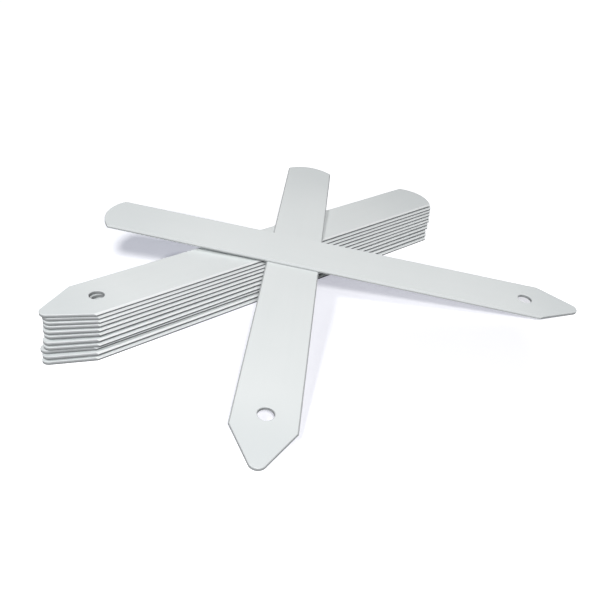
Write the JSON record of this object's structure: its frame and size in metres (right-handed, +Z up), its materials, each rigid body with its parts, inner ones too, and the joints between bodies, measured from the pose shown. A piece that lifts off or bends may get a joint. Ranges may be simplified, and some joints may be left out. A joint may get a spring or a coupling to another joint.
{
  "type": "plant label stake set",
  "caption": "Flat pointed plastic plant label stakes with a hanging hole and rounded end, lying as a loose pile with one leaning on it and one laid across",
  "frame": {"origin": "middle of the bottom pile stake's underside, on the surface the set lies on", "axes": "+X along the pile from the tips to the rounded ends, -Y the pile's near side towards the loose stakes' tips, +Z up"},
  "size_m": [0.2049, 0.1543, 0.0349],
  "materials": {
    "stake_plastic": "smooth moulded white polypropylene, low sheen, square edges softly rounded"
  },
  "bodies": {
    "stack_stake_01": {"stack_stake_01": "stake_plastic"},
    "stack_stake_02": {"stack_stake_02": "stake_plastic"},
    "stack_stake_03": {"stack_stake_03": "stake_plastic"},
    "stack_stake_04": {"stack_stake_04": "stake_plastic"},
    "stack_stake_05": {"stack_stake_05": "stake_plastic"},
    "stack_stake_06": {"stack_stake_06": "stake_plastic"},
    "stack_stake_07": {"stack_stake_07": "stake_plastic"},
    "stack_stake_08": {"stack_stake_08": "stake_plastic"},
    "stack_stake_09": {"stack_stake_09": "stake_plastic"},
    "stack_stake_10": {"stack_stake_10": "stake_plastic"},
    "stack_stake_11": {"stack_stake_11": "stake_plastic"},
    "leaning_stake": {"leaning_stake": "stake_plastic"},
    "cross_stake": {"cross_stake": "stake_plastic"}
  },
  "joints": [
    {"name": "lift_02", "type": "slide", "parent": "stack_stake_01", "child": "stack_stake_02", "axis": [0, 0, 1], "range_m": [0, 0.03]},
    {"name": "lift_03", "type": "slide", "parent": "stack_stake_02", "child": "stack_stake_03", "axis": [0, 0, 1], "range_m": [0, 0.03]},
    {"name": "lift_04", "type": "slide", "parent": "stack_stake_03", "child": "stack_stake_04", "axis": [0, 0, 1], "range_m": [0, 0.03]},
    {"name": "lift_05", "type": "slide", "parent": "stack_stake_04", "child": "stack_stake_05", "axis": [0, 0, 1], "range_m": [0, 0.03]},
    {"name": "lift_06", "type": "slide", "parent": "stack_stake_05", "child": "stack_stake_06", "axis": [0, 0, 1], "range_m": [0, 0.03]},
    {"name": "lift_07", "type": "slide", "parent": "stack_stake_06", "child": "stack_stake_07", "axis": [0, 0, 1], "range_m": [0, 0.03]},
    {"name": "lift_08", "type": "slide", "parent": "stack_stake_07", "child": "stack_stake_08", "axis": [0, 0, 1], "range_m": [0, 0.03]},
    {"name": "lift_09", "type": "slide", "parent": "stack_stake_08", "child": "stack_stake_09", "axis": [0, 0, 1], "range_m": [0, 0.03]},
    {"name": "lift_10", "type": "slide", "parent": "stack_stake_09", "child": "stack_stake_10", "axis": [0, 0, 1], "range_m": [0, 0.03]},
    {"name": "lift_11", "type": "slide", "parent": "stack_stake_10", "child": "stack_stake_11", "axis": [0, 0, 1], "range_m": [0, 0.03]},
    {"name": "lift_leaning_stake", "type": "slide", "parent": "stack_stake_11", "child": "leaning_stake", "axis": [0, 0, 1], "range_m": [0, 0.03]},
    {"name": "lift_cross_stake", "type": "slide", "parent": "leaning_stake", "child": "cross_stake", "axis": [0, 0, 1], "range_m": [0, 0.03]}
  ]
}
